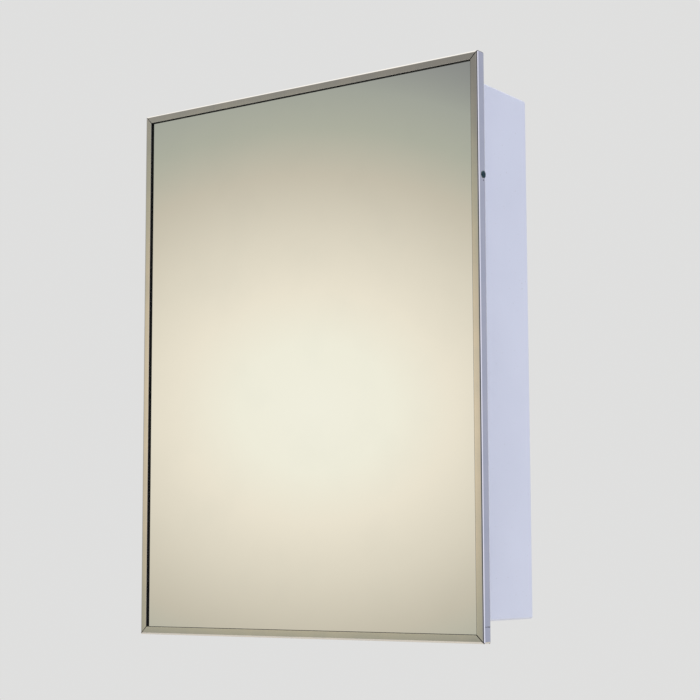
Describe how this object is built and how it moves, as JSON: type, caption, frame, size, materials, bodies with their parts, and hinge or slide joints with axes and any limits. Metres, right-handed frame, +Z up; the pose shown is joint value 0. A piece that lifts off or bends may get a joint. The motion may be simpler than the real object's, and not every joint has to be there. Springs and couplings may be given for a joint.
{
  "type": "medicine cabinet",
  "caption": "Shallow wall cabinet: enamelled steel casing, mirror door in a mitred steel channel frame on a continuous hinge, magnetic catch and lift-out glass shelves.",
  "frame": {"origin": "centre of the casing's back face, in the plane that lies on the wall", "axes": "+X right as seen from the front, +Y into the wall, +Z up; the door faces -Y"},
  "size_m": [0.4228, 0.127, 0.559],
  "materials": {
    "white_enamel": "baked white enamel on sheet steel, semi-gloss",
    "frame_steel": "bright polished stainless steel",
    "hinge_steel": "fine brushed stainless steel",
    "zinc_plate": "bright zinc plate",
    "dark_screw": "dark oxide, oiled",
    "mirror_silver": "silvered float glass",
    "shelf_glass": "clear float glass with ground green edges",
    "black_bead": "black vinyl bead",
    "black_rubber": "matte black rubber",
    "board": "plain brown hardboard",
    "foam": "dark grey closed-cell foam",
    "catch_plastic": "moulded white plastic",
    "magnet": "pressed ferrite, dark grey"
  },
  "bodies": {
    "casing": {"back_panel": "white_enamel", "left_side": "white_enamel", "right_side": "white_enamel", "top_panel": "white_enamel", "bottom_panel": "white_enamel", "standard_left_front": "zinc_plate", "standard_left_rear": "zinc_plate", "standard_right_front": "zinc_plate", "standard_right_rear": "zinc_plate", "clips_lower": "zinc_plate", "clips_middle": "zinc_plate", "clips_upper": "zinc_plate", "catch_case": "catch_plastic", "catch_magnet": "magnet", "catch_pole_plates": "zinc_plate", "catch_screws": "zinc_plate", "door_bumpers": "black_rubber", "hinge_body_leaf": "hinge_steel", "hinge_pin": "zinc_plate", "hinge_body_rivets": "zinc_plate"},
    "door": {"frame_top": "frame_steel", "frame_bottom": "frame_steel", "frame_left": "frame_steel", "frame_right": "frame_steel", "corner_angles": "zinc_plate", "frame_screws": "dark_screw", "mirror_glass": "mirror_silver", "mirror_bead": "black_bead", "backing_board": "board", "pressure_pads": "foam", "door_pan": "white_enamel", "hinge_door_leaf": "hinge_steel", "hinge_door_screws": "zinc_plate", "strike_plate": "zinc_plate", "strike_rivets": "zinc_plate"},
    "lower_shelf": {"shelf_lower": "shelf_glass"},
    "middle_shelf": {"shelf_middle": "shelf_glass"},
    "upper_shelf": {"shelf_upper": "shelf_glass"}
  },
  "joints": [
    {"name": "door_hinge", "type": "hinge", "parent": "casing", "child": "door", "pos_m": [-0.19405, -0.11145, 0], "axis": [0, 0, -1], "range_deg": [0, 100]},
    {"name": "lower_shelf_lift", "type": "slide", "parent": "casing", "child": "lower_shelf", "axis": [0, 0, 1], "range_m": [0, 0.015]},
    {"name": "middle_shelf_lift", "type": "slide", "parent": "casing", "child": "middle_shelf", "axis": [0, 0, 1], "range_m": [0, 0.015]},
    {"name": "upper_shelf_lift", "type": "slide", "parent": "casing", "child": "upper_shelf", "axis": [0, 0, 1], "range_m": [0, 0.015]}
  ]
}
